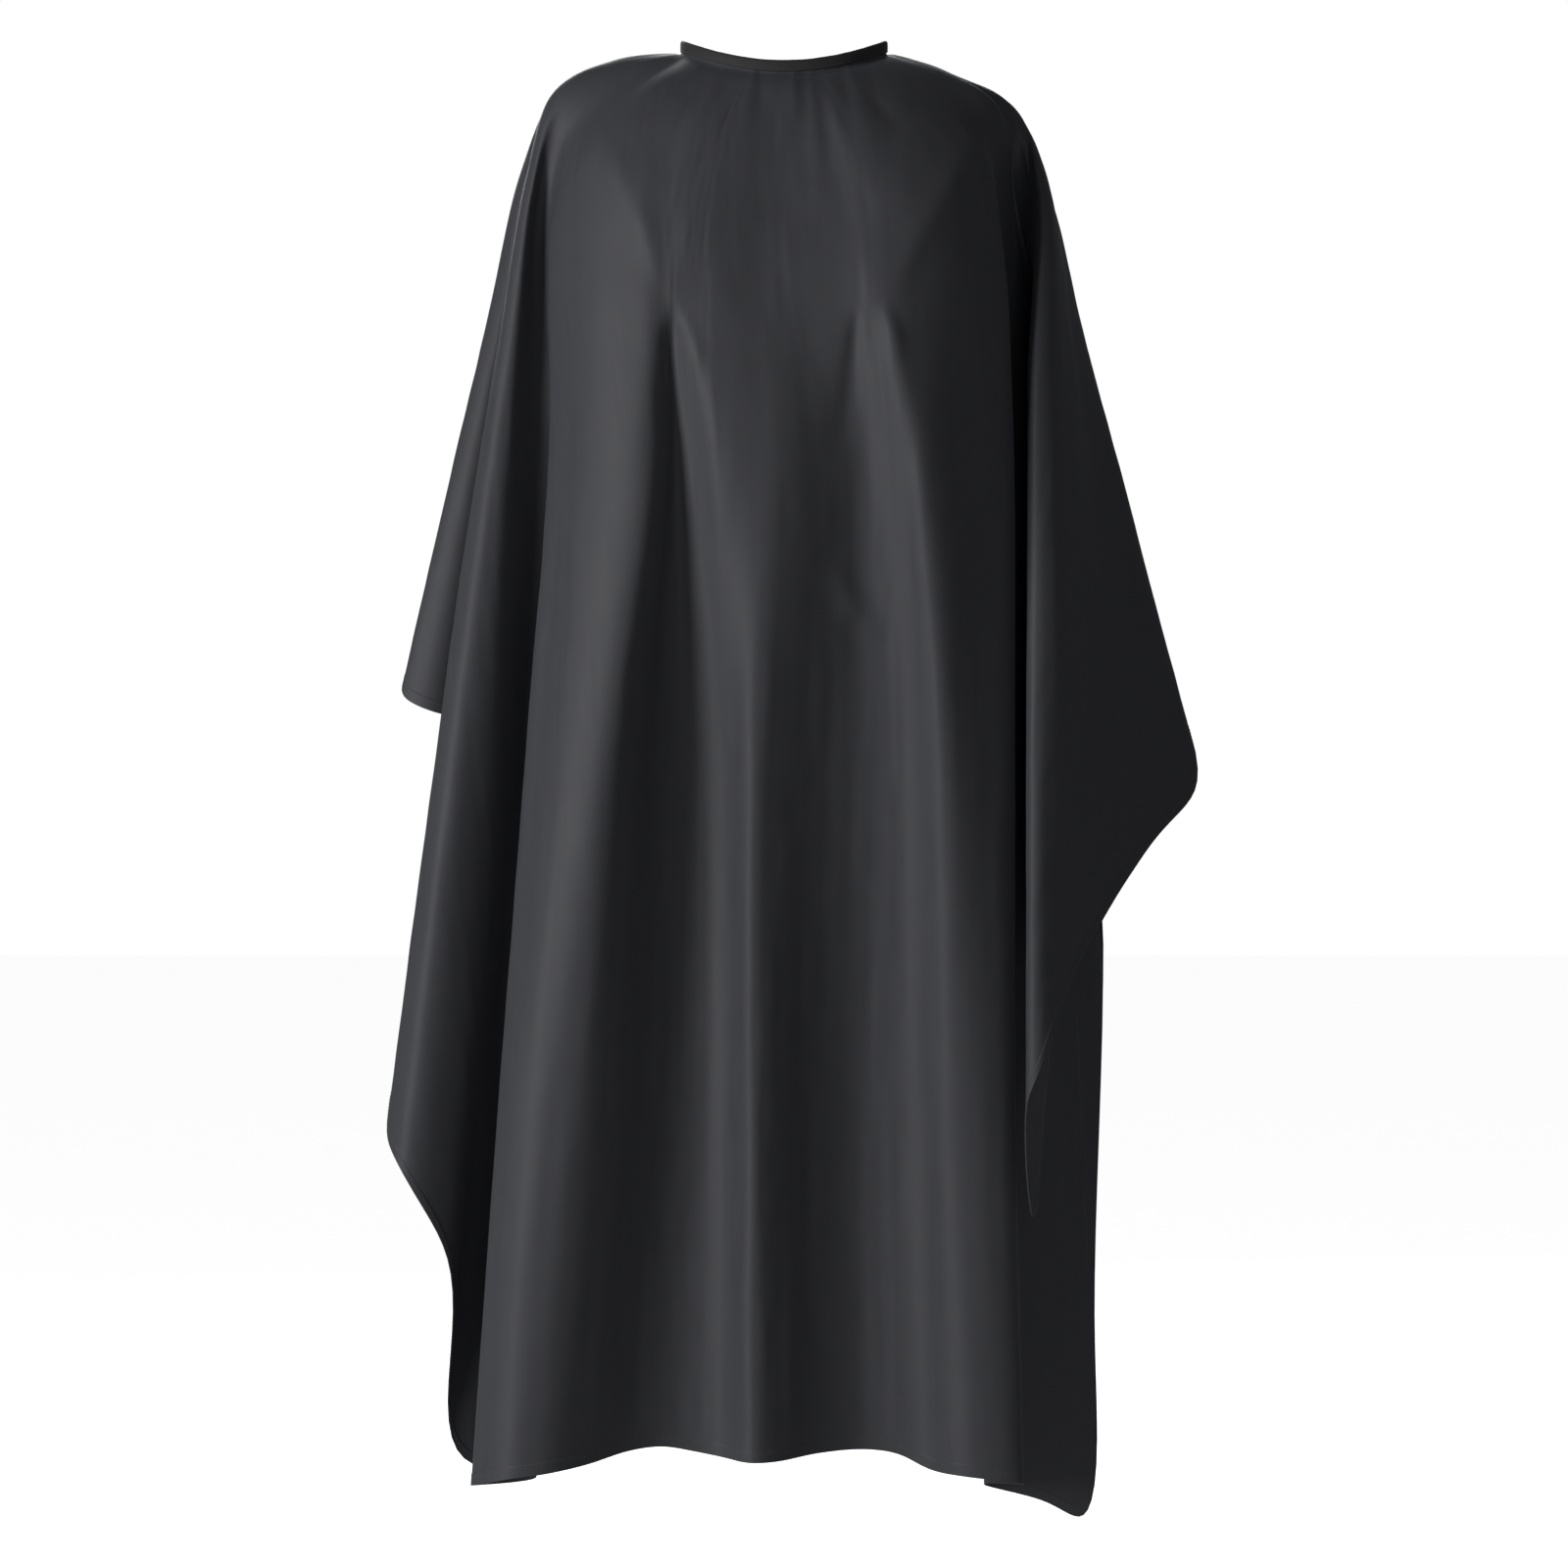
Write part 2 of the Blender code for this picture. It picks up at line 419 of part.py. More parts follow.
def socket_pair(index, angle, home):
    """A socket on the inside of the tab, and the cap whose stem holds it."""
    middle = -BAND_HEIGHT / 2
    depth = 2.4 * MM
    start = TAB_OUT - GAP - depth
    cap = TAB_OUT + TAPE_THICK + GAP
    turned(f"socket_{index}", (
        (HOLE_RADIUS, depth), (HOLE_RADIUS, depth - 0.75 * MM), (2.5 * MM, depth - 0.75 * MM),
        (2.5 * MM, 0.1 * MM), (2.7 * MM, 0), (SNAP_RADIUS - 0.4 * MM, 0), (SNAP_RADIUS, 0.4 * MM),
        (SNAP_RADIUS, depth)),
        rim_frame(angle, start, middle), home, "nickel")
    stem = -(TAPE_THICK + 2 * GAP + 0.6 * MM)
    turned(f"socket_cap_{index}", (
        (0, stem), (STEM_RADIUS, stem), (STEM_RADIUS, 0), (SNAP_RADIUS, 0),
        (SNAP_RADIUS + 0.25 * MM, 0.25 * MM), (SNAP_RADIUS - 0.3 * MM, 0.7 * MM),
        (SNAP_RADIUS * 0.6, 1.0 * MM), (0, 1.15 * MM)),
        rim_frame(angle, cap, middle), home, "nickel")


def main():
    clear_scene()
    home = collection(NAME)
    helpers = collection("helpers", hidden=True)
    cape_sheet(home)
    neck_binding(home)
    studs = [-180 + a for a in STUD_ANGLES]
    sockets = studs[:SOCKET_COUNT]
    strip = tape("stud_strip", strip_stations(), home)
    strip_core = interlining("stud_strip_interlining", strip_stations(0.6), home)
    tab = tape("closure_tab", tab_stations(), home)
    tab_core = interlining("closure_tab_interlining", tab_stations(0.6), home)
    for obj in (strip, strip_core):
        punch(obj, studs, STRIP_OUT - 0.5 * MM, TAPE_THICK + 1 * MM, helpers)
    for obj in (tab, tab_core):
        punch(obj, sockets, TAB_OUT - 0.5 * MM, TAPE_THICK + 1 * MM, helpers)
    for index, angle in enumerate(studs, 1):
        snap_pair(index, angle, home)
    for index, angle in enumerate(sockets, 1):
        socket_pair(index, angle, home)


main()
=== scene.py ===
"""Barber cape hanging from a wearer's shoulders: cloth, hem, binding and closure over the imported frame."""
import math

import bmesh
import bpy
import numpy as np
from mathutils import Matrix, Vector


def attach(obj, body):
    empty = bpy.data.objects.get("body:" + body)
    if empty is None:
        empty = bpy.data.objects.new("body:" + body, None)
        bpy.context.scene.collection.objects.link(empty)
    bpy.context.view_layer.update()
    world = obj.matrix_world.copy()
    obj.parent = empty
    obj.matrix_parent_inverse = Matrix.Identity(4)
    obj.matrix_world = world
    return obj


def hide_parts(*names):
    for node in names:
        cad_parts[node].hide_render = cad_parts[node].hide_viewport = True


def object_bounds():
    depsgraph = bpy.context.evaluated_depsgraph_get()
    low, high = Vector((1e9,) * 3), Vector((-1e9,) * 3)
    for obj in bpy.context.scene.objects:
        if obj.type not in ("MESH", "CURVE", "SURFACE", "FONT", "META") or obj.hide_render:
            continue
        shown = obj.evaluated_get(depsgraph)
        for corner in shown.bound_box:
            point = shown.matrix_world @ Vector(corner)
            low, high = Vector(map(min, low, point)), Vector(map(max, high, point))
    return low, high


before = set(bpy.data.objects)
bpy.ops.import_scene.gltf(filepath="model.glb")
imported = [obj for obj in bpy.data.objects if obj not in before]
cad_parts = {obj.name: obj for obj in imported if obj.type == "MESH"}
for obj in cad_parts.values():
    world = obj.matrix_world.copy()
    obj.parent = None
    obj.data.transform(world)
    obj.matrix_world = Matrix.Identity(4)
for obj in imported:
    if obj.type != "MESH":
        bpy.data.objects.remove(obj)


def bounds():
    return [[float(c) for c in corner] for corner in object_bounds()]


CAD_BOX = bounds()
RNG = np.random.default_rng(7)
CM, MM = 0.01, 0.001

# Neck opening, as in the CAD: an ellipse in plan whose height dips at the throat.
NECK_X, NECK_Y = 89 * MM, 70 * MM
RIM_MEAN, RIM_DIP, RIM_SADDLE = -7.4 * MM, -8.8 * MM, -9.4 * MM
BAND_HEIGHT = 10 * MM

CLOTH_THICK, HEM_THICK = 0.5 * MM, 1.1 * MM
HEM_WIDTH = 10 * MM
# The fine band of grid lines along a sewn edge, as distances from it, and the line the seam runs on. The
# seams beside the slit start some rows below the neck.
EDGE_BAND = np.array([14, 12.4, 11, 10.4, 10, 9.4, 7.6, 5.2, 2.8, 1.2, 0.4, 0]) * MM
SEAM_IN_BAND = 6
BAND_START = 19 * MM
SEAM_FIRST_ROW = 27
ROWS, STEPS = 300, 9
RELAX_ROUNDS = 6
MAIN_ROWS = 250
STITCH_LONG, STITCH_PITCH, THREAD = 2.5 * MM, 3.3 * MM, 0.17 * MM
AMBIENT = 0.085
FLOOR_BELOW = 0.25
CAMERA_AWAY, CAMERA_HEIGHT, VIEW_HEIGHT = 4.0, -0.65, 1.376
SENSOR_WIDTH = 36

# Binding and closure tapes, as in the CAD: distances out from the middle of the binding, and angles round
# the neck.
BINDING_HALF, BINDING_SLOT, SLOT_TOP = 2.1 * MM, 1.3 * MM, -4 * MM
TAPE_THICK, TAPE_HEIGHT = 2.0 * MM, 12.5 * MM
STRIP_OUT, TAB_OUT, GAP = 3.2 * MM, 9.1 * MM, 0.3 * MM
SLIT_ANGLE = 178
STRIP_ANGLES = (4.5, 47)
TAB_ANGLES, TAB_RAMP_ANGLE = (-2.2, 22), 5.6
BINDING_STATIONS, TAPE_STATIONS = 361, 61

# Fold lines of the sheet: the angle round the neck in degrees (0 at the throat, minus on the side of -X),
# then eight points in cm from the neck to the hem.
FOLD_LINES = (
    # back, from the slit round to the shoulder
    (-178, ((-0.4, 8, -3.4), (-0.5, 9.5, -5), (-0.6, 11, -9), (-0.7, 12, -13),
            (-0.8, 12.6, -17), (-0.8, 12.9, -20), (-0.8, 13, -23), (-0.8, 13, -25.5))),
    (-164, ((-3, 8.2, -3.4), (-4.5, 10, -5.5), (-5.5, 11.8, -9.5), (-6.2, 13, -13.5),
            (-6.8, 13.6, -17.5), (-7.2, 13.9, -21), (-7.6, 14, -24), (-8, 14, -26.5))),
    (-150, ((-6, 8, -3), (-9.5, 10, -4.5), (-12, 11.5, -8.5), (-13.5, 12.2, -13),
            (-14.5, 12.5, -18), (-15.2, 12.6, -22.5), (-15.8, 12.6, -26.5), (-16.2, 12.5, -30))),
    (-136, ((-8.2, 6.4, -2.3), (-12.5, 8, -3), (-16.5, 9.2, -6.4), (-19, 9.6, -13),
            (-20.5, 9.6, -20), (-21.8, 9.5, -27), (-23, 9.3, -34), (-24, 9, -40))),
    (-124, ((-9.2, 5, -1.5), (-14, 6, -2.1), (-19, 6.6, -5.2), (-21.8, 6.8, -13),
            (-24, 6.9, -22), (-26.5, 6.8, -32), (-29, 6.5, -43), (-31, 6, -52))),
    # outer flap over the arm, ending at a back corner
    (-114, ((-9.6, 3.6, -0.9), (-14.5, 4.2, -1.6), (-20.2, 4.4, -4.5), (-23.4, 4.3, -11),
            (-26, 4.3, -22), (-28.6, 4.3, -33), (-31.4, 4.2, -45), (-34, 4, -56.8))),
    (-106, ((-9.7, 2.4, -0.9), (-14.6, 2.6, -1.5), (-20.4, 2.6, -4.4), (-22.9, 2.3, -11.5),
            (-24.6, 2.4, -22), (-26.6, 2.6, -33), (-28.9, 2.8, -45.5), (-31.2, 2.7, -58.6))),
    (-101, ((-9.7, 1.7, -0.9), (-14.6, 1.8, -1.5), (-20.3, 1.6, -4.4), (-21.8, 2, -11.5),
            (-22.4, 3.2, -22), (-23.2, 4.6, -34), (-23.8, 5.8, -47), (-24.4, 6.6, -60.5))),
    (-98, ((-9.7, 1.1, -0.9), (-14.6, 1.1, -1.5), (-20.2, 0.8, -4.4), (-21.6, 1.1, -11.5),
           (-21.8, 2.1, -22.5), (-22.4, 3, -35.5), (-22.8, 3.8, -50), (-23.2, 4.6, -65.5))),
    # fold over the forearm
    (-95, ((-9.7, 0.7, -0.9), (-14.6, 0.5, -1.5), (-20.2, 0.2, -4.4), (-22, 0.3, -11.5),
           (-22.9, 0.8, -23), (-24.2, 0.9, -38), (-25.6, 1, -55), (-27.2, 1.4, -72))),
    (-91, ((-9.6, -0.1, -1), (-14.5, -0.3, -1.5), (-20.2, -0.6, -4.5), (-22.6, -0.8, -12),
           (-24.8, -0.6, -25), (-27.9, -0.3, -43), (-31.3, -0.1, -67), (-35, 0.5, -94.5))),
    (-87, ((-9.7, -0.6, -1), (-14.6, -1.3, -1.6), (-20, -1.9, -4.6), (-22.5, -2.2, -12.5),
           (-24.5, -2.6, -26), (-27, -2.9, -46), (-30.1, -3.2, -72), (-33.3, -2.9, -98.8))),
    (-83, ((-9.6, -1.3, -1.2), (-14.3, -2.2, -2), (-19.4, -3, -5.2), (-21.9, -3.1, -13),
           (-23.4, -3.1, -28), (-25, -2.5, -50), (-27, -1.4, -78), (-29, -0.2, -107.5))),
    (-79, ((-9.5, -1.9, -1.3), (-14, -3, -2.6), (-18.8, -3.4, -6.2), (-21.4, -1.8, -14),
           (-21.9, -0.8, -30), (-22.6, 0.6, -55), (-24.4, 2.2, -88), (-29.2, 3.2, -124.5))),
    (-75, ((-9.3, -2.5, -1.6), (-13.4, -3.7, -3.2), (-18, -3.9, -7.2), (-20.4, -1.9, -15),
           (-19.6, -0.8, -32), (-18.9, 1.8, -58), (-19.4, 4.4, -90), (-21.6, 6, -126.6))),
    # front
    (-70, ((-9, -3.2, -2), (-12.8, -4.7, -4.2), (-17.2, -5.8, -8.8), (-19.9, -5, -16),
           (-20.4, -5.8, -36), (-22.5, -6.8, -63), (-24.7, -7.6, -93), (-27, -9, -125.2))),
    (-62, ((-8.6, -4.4, -2.5), (-12.4, -6.4, -5), (-16.5, -7.7, -9.6), (-18.5, -8.1, -17.5),
           (-18.7, -9.2, -36.5), (-20.8, -10.1, -63), (-23.6, -11.1, -93), (-25.6, -12, -124.6))),
    (-54, ((-7.9, -5.5, -3), (-11.6, -8, -6), (-14.8, -9.8, -11), (-15.7, -11.4, -20.5),
           (-16.4, -12.4, -37.5), (-18.8, -13.1, -63), (-21.6, -13.3, -93), (-23.4, -14, -123.9))),
    (-46, ((-7, -6.4, -3.6), (-9.8, -9.2, -7), (-12.1, -11.8, -13), (-11.8, -13.5, -21.5),
           (-11.7, -14.5, -38), (-15, -14.6, -63), (-17.7, -13.7, -93), (-20.2, -13.7, -123.5))),
    (-38, ((-6, -7.1, -4), (-8.4, -10.2, -8), (-10, -12.7, -15), (-10.1, -13.8, -23),
           (-10.1, -13.3, -38), (-12.7, -12.6, -63), (-14.5, -11.6, -93), (-16.6, -11.2, -123))),
    (-31, ((-5, -7.6, -4.3), (-7, -10.8, -8.4), (-8.9, -13, -15.6), (-9.4, -13.9, -23.5),
           (-9.3, -12, -38), (-11.1, -9.9, -63), (-12.1, -8.9, -93), (-13.5, -8.6, -122.3))),
    (-23, ((-4, -8, -4.5), (-5.8, -11, -8.6), (-7.6, -13.2, -16), (-8.4, -14, -24),
           (-8.4, -12, -38), (-8.9, -8.5, -63), (-9.5, -7.3, -93), (-10.5, -7.1, -122.1))),
    (-19, ((-3.4, -8.2, -4.6), (-5, -11, -8.7), (-6.7, -13.2, -16.1), (-7.2, -14.1, -24.2),
           (-7, -12.9, -38), (-6.9, -8.5, -63), (-7, -6.9, -93), (-7.7, -6.7, -122.6))),
    (-15, ((-2.8, -8.4, -4.7), (-4.2, -11.1, -8.8), (-5.8, -13.2, -16.2), (-6, -14.2, -24.4),
           (-5.4, -14.2, -38.5), (-4.9, -9.8, -63), (-4.9, -7.7, -93), (-5.2, -7.4, -123))),
    (-7, ((-1.4, -8.7, -4.9), (-2, -11, -9), (-2.9, -12.8, -16.4), (-2.8, -13.8, -24.2),
          (-1.9, -14.5, -38.5), (-2.7, -12.3, -63), (-2.9, -10.4, -93), (-2.9, -10.2, -123.1))),
    (-2, ((-0.4, -8.8, -4.9), (-0.5, -10.9, -9.1), (-0.9, -12.5, -16.4), (-0.5, -13.5, -24.1),
          (0.6, -14, -38.5), (-0.2, -11.2, -63), (-0.6, -9.3, -93), (-0.4, -9.1, -123.1))),
    (3, ((0.6, -8.8, -4.9), (0.8, -10.8, -9.1), (1, -12.4, -16.4), (1.6, -13.3, -24),
         (3.4, -12.6, -38.5), (3, -9.2, -63), (2.2, -6.9, -93), (2.6, -6.7, -122.8))),
    (14, ((2.4, -8.5, -4.8), (3.6, -10.9, -8.9), (5, -12.4, -16.4), (5.7, -13.3, -24),
          (6.6, -11.3, -38.5), (6.6, -7.8, -63), (6.3, -4.9, -93), (6.8, -4.6, -122.7))),
    (20, ((3.3, -8.3, -4.7), (4.9, -10.9, -8.7), (6.7, -12.6, -16.2), (7.3, -13.7, -24.2),
          (8.5, -11.9, -38.5), (9.2, -7.8, -63), (9.3, -4.9, -93), (9.9, -4.6, -123.1))),
    (25, ((4.2, -8, -4.5), (6.2, -10.8, -8.4), (8.4, -12.7, -16), (8.8, -13.9, -24.5),
          (10.2, -12.9, -38.5), (11.2, -8.6, -63), (11.6, -5.6, -93), (12.5, -5.4, -124.3))),
    (36, ((5.9, -7.2, -4), (8.6, -9.8, -7.8), (11.4, -12, -14.8), (11, -13.2, -24),
          (11.9, -13.7, -38.5), (13.5, -10.8, -63), (14, -8.2, -93), (15.2, -8.2, -124.5))),
    (48, ((7.2, -6.2, -3.5), (10.6, -8.6, -6.8), (14.6, -10, -12.8), (14.8, -11, -22),
          (16.2, -10.4, -37.5), (17, -9.1, -63), (17.5, -8.2, -93), (18.8, -8.4, -124.9))),
    (60, ((8.2, -5, -2.8), (12.2, -6.8, -5.6), (17, -7.4, -10.6), (18.9, -6.7, -19),
          (19.9, -6.8, -36), (20.1, -6.4, -62), (20.2, -6.2, -92.5), (20.9, -7, -125.4))),
    # deep valley, and the layer behind that ends at a front corner
    (70, ((8.9, -3.6, -2.1), (13, -5, -4.4), (17.2, -5.6, -8.4), (18.5, -4.4, -15.5),
          (18.9, -1.8, -33), (18.2, 0.2, -60), (17.2, 2, -92), (17.4, 3.4, -127))),
    (79, ((9.3, -2.5, -1.6), (13.6, -3.4, -3.5), (18.2, -3.8, -7), (19.3, -2.2, -14),
          (20.2, 2, -33), (21.4, 5, -60), (22.2, 5.6, -93), (23, 4.8, -128.6))),
    (84, ((9.5, -1.6, -1.4), (14, -2.2, -2.9), (18.8, -2.6, -6.2), (19.9, -0.4, -13.6),
          (22, 3.9, -33), (24, 6.6, -60), (25.6, 7.2, -95), (27, 5.4, -130.3))),
    (88, ((9.6, -1.1, -1.2), (14.1, -1.6, -2.8), (18.8, -2.1, -6), (19.8, 0.2, -13.4),
          (23, 5, -31), (25, 7.4, -54), (26.2, 8, -82), (27.6, 7.2, -110))),
    (92, ((9.7, -0.5, -1.1), (14.4, -0.9, -2.7), (19.1, -1.3, -5.8), (20.3, 0.9, -13),
          (23.9, 5.3, -28), (25.9, 8, -44), (27.3, 9, -59), (28.4, 9, -74))),
    (96, ((9.7, 0.1, -1.1), (14.5, -0.3, -2.7), (19.6, -0.6, -5.7), (21.1, 0.2, -13),
          (22.9, 1, -29), (24, 2, -46), (24.7, 2.4, -64), (24.4, 0.6, -83))),
    (98, ((9.7, 0.6, -1.1), (14.5, 0.4, -2.7), (20.1, 0.1, -5.6), (21.6, -0.8, -13),
          (21.9, -2.4, -30), (22.3, -3.2, -50), (22.4, -4, -75), (21.6, -6, -103.5))),
    # outer flap over the other arm
    (100, ((9.7, 1.1, -1.1), (14.5, 1, -2.7), (20.4, 0.8, -5.6), (21.9, -1.9, -13),
           (21.1, -5.2, -30), (20.9, -7, -50), (20.8, -8, -72), (20.8, -8, -93))),
    (103, ((9.7, 1.6, -1.1), (14.6, 1.6, -2.7), (20.5, 1.5, -5.6), (22.3, -2.6, -13),
           (21.7, -6.5, -30), (21.6, -8.2, -50), (21.5, -9.1, -71), (22, -8.7, -89.5))),
    (106, ((9.7, 2.1, -1.1), (14.6, 2.2, -2.7), (20.4, 2.3, -5.6), (23, -2, -13),
           (23.3, -5.8, -30), (23.8, -7.2, -48), (24.3, -7.2, -65), (24.6, -6.4, -82.4))),
    (111, ((9.7, 2.8, -1.1), (14.6, 3, -2.7), (20.3, 3.1, -5.6), (23.4, -0.2, -13),
           (24.6, -3, -28), (26, -3.4, -44), (27.3, -2.8, -60), (28.3, -1.8, -76))),
    (118, ((9.5, 3.8, -1.2), (14.4, 4.1, -2.7), (20, 4.1, -5.7), (23.4, 2.2, -13),
           (25.7, 0.8, -26), (28.3, 1, -42), (30.8, 1.6, -56), (32.7, 2.2, -69.8))),
    (126, ((9, 5, -1.4), (13.8, 5.5, -3), (19.6, 5.6, -6.3), (23.5, 5, -13),
           (26.4, 4.8, -24), (30.3, 5, -38), (34, 5.6, -52), (37.2, 6.2, -64.2))),
    (138, ((8, 6.5, -2.3), (12, 8.2, -3.6), (16.5, 9.2, -7.2), (19.6, 9.6, -13),
           (22, 9.8, -21), (24.6, 9.8, -30), (27.2, 9.6, -39), (29.4, 9.4, -47))),
    (150, ((6, 8, -3), (9.3, 10, -4.5), (12, 11.5, -8.5), (13.8, 12.2, -13),
           (15.2, 12.5, -18), (16.6, 12.6, -23), (17.8, 12.6, -28), (18.8, 12.5, -32.5))),
    (164, ((3, 8.2, -3.4), (4.5, 10, -5.5), (5.5, 11.8, -9.5), (6.2, 13, -13.5),
           (6.8, 13.6, -17.5), (7.2, 13.9, -21), (7.6, 14, -24), (8, 14, -26.5))),
    (178, ((0.4, 8, -3.4), (0.5, 9.5, -5), (0.6, 11, -9), (0.7, 12, -13),
           (0.8, 12.6, -17), (0.8, 12.9, -20), (0.8, 13, -23), (0.8, 13, -25.5))),
)


def rim(angle, out=0.0, up=0.0):
    a = math.radians(angle)
    normal = Vector((NECK_Y * math.sin(a), -NECK_X * math.cos(a), 0)).normalized()
    top = RIM_MEAN + RIM_DIP * math.cos(a) + RIM_SADDLE * math.cos(2 * a)
    return Vector((NECK_X * math.sin(a), -NECK_Y * math.cos(a), top + up)) + normal * out


def outward(angle):
    return (rim(angle, 1) - rim(angle, 0)).normalized()


def run_of(line):
    """The distance along a polyline at each of its points."""
    return np.concatenate([[0], np.cumsum(np.linalg.norm(np.diff(line, axis=0), axis=1))])


def smooth_curves(points):
    """Catmull-Rom curves with square-root knots through points[k, n, 3]: the points, with one more at each
    end, and their knots."""
    points = np.asarray(points, float)
    steps = np.sqrt(np.maximum(np.linalg.norm(np.diff(points, axis=0), axis=2), 1e-5))
    knots = np.concatenate([np.zeros((1, steps.shape[1])), np.cumsum(steps, axis=0)])
    first = 2 * points[:1] - points[1:2]
    last = 2 * points[-1:] - points[-2:-1]
    points = np.concatenate([first, points, last])
    knots = np.concatenate([-knots[1:2], knots, 2 * knots[-1:] - knots[-2:-1]])
    return points, knots


def read_curves(points, knots, t, k):
    """The curves at parameter t[n] inside knot span k[n] (k is the index of the span's first inner point)."""
    cols = np.arange(points.shape[1])
    p = [points[k - 1 + i, cols] for i in range(4)]
    u = [knots[k - 1 + i, cols][:, None] for i in range(4)]
    t = t[:, None]

    def mix(a, b, ka, kb):
        return a * ((kb - t) / (kb - ka)) + b * ((t - ka) / (kb - ka))
    a1, a2, a3 = (mix(p[i], p[i + 1], u[i], u[i + 1]) for i in range(3))
    b1, b2 = mix(a1, a2, u[0], u[2]), mix(a2, a3, u[1], u[3])
    return mix(b1, b2, u[1], u[2])


def cloth_grid():
    """The sheet as grid[row, column, xyz]: rows from the neck to the hem, columns round the neck."""
    lines = []
    for angle, points in FOLD_LINES:
        lines.append([rim(angle, 0, 4 * MM - BAND_HEIGHT), rim(angle, 0.2 * MM, -BAND_HEIGHT - 2 * MM),
                      *(Vector(p) * CM for p in points)])
    lines = np.array([[list(p) for p in line] for line in lines]).transpose(1, 0, 2)
    pts, knots = smooth_curves(lines)
    rows = []
    for i in range(ROWS):
        t = knots[1] + (knots[-2] - knots[1]) * (i / (ROWS - 1))
        k = np.clip((knots[1:-1] <= t + 1e-9).sum(axis=0), 1, knots.shape[0] - 3)
        rows.append(read_curves(pts, knots, t, k))
    rows = np.array(rows)
    pts, knots = smooth_curves(rows.transpose(1, 0, 2))
    columns = []
    for k in range(1, pts.shape[0] - 2):
        for s in range(STEPS):
            t = knots[k] + (knots[k + 1] - knots[k]) * (s / STEPS)
            columns.append(read_curves(pts, knots, t, np.full(t.shape, k)))
    columns.append(rows[:, -1])
    return np.array(columns).transpose(1, 0, 2)


def resample(line, want):
    """Points of a polyline at the distances along it that want gives for its length."""
    run = run_of(line)
    return np.stack([np.interp(want(run[-1]), run, line[:, axis]) for axis in range(3)], axis=1)


def even_rows(grid):
    """Rows at even steps down each column, then a fine band of rows that follows the hem."""
    def want(total):
        return np.concatenate([np.linspace(0, total - BAND_START, MAIN_ROWS), total - EDGE_BAND])
    return np.stack([resample(grid[:, j], want) for j in range(grid.shape[1])], axis=1)


def fine_sides(grid):
    """The same fine band down the two edges of the slit, in the first and last columns."""
    count = 2 * STEPS + 1
    inner = count - len(EDGE_BAND)

    def want(total):
        return np.concatenate([EDGE_BAND[::-1], np.linspace(BAND_START, total, inner)])
    for row in grid:
        row[:count] = resample(row[:count].copy(), want)
        row[-count:] = resample(row[-count:][::-1].copy(), want)[::-1]
    return grid


def normals_of(grid):
    down = np.gradient(grid, axis=0)
    round_ = np.gradient(grid, axis=1)
    n = np.cross(down, round_)
    return n / np.maximum(np.linalg.norm(n, axis=2, keepdims=True), 1e-9)


def crease(grid, angles, path, width, depth, kind="soft"):
    """Presses a crease into the columns between two angles. Its path runs through (x, z) points in cm, with
    its width and depth (cm, plus towards the front) at each of them. A soft crease is one rounded valley or
    ridge, and a sharp one falls steeply on its first side and slowly on its second."""
    a0, a1 = (np.searchsorted(COLUMN_ANGLES, a) for a in angles)
    part = grid[:, a0:a1]
    x, z = part[..., 0] * 100, part[..., 2] * 100
    path = np.asarray(path, float)
    seg = np.diff(path, axis=0)
    long = np.linalg.norm(seg, axis=1)
    best = np.full(x.shape, 1e9)
    share = np.zeros(x.shape)
    side = np.zeros(x.shape)
    for k in range(len(seg)):
        dx, dz = x - path[k, 0], z - path[k, 1]
        t = (dx * seg[k, 0] + dz * seg[k, 1]) / long[k] ** 2
        tc = np.clip(t, 0, 1)
        d = np.hypot(dx - tc * seg[k, 0], dz - tc * seg[k, 1])
        cross = (seg[k, 0] * dz - seg[k, 1] * dx) / long[k]
        near = d < best
        best = np.where(near, d, best)
        side = np.where(near, cross, side)
        share = np.where(near, k + tc, share)
    at = np.arange(len(path))
    w = np.interp(share, at, width)
    h = np.interp(share, at, depth)
    u = best / np.maximum(w, 0.05)
    if kind == "soft":
        form = np.exp(-u * u)
    else:
        form = np.where(side > 0, np.exp(-(u * 2.6) ** 2), np.exp(-u))
    part[..., 1] -= h * form * CM


def relax(grid, rounds, share=0.5):
    """Evens out the spline's joins: each inner point moves towards the mean of its neighbours."""
    for _ in range(rounds):
        mean = (grid[1:-1, :-2] + grid[1:-1, 2:]) / 2
        grid[1:-1, 1:-1] += share * (mean - grid[1:-1, 1:-1])
        mean = (grid[:-2] + grid[2:]) / 2
        grid[1:-1] += share * 0.5 * (mean - grid[1:-1])
        edge = (grid[-1:, :-2] + grid[-1:, 2:]) / 2
        grid[-1:, 1:-1] += share * (edge - grid[-1:, 1:-1])
    return grid


def soft_noise(shape, cells):
    """Smooth random values between -1 and 1, in so many cells down and across."""
    value = RNG.uniform(-1, 1, (cells[0] + 2, cells[1] + 2))
    for axis, (size, count) in enumerate(zip(shape, cells)):
        at = np.linspace(0, count, size)
        low = at.astype(int)
        t = at - low
        t = t * t * (3 - 2 * t)
        t = t[:, None] if axis == 0 else t[None, :]
        value = np.take(value, low, axis) * (1 - t) + np.take(value, low + 1, axis) * t
    return value


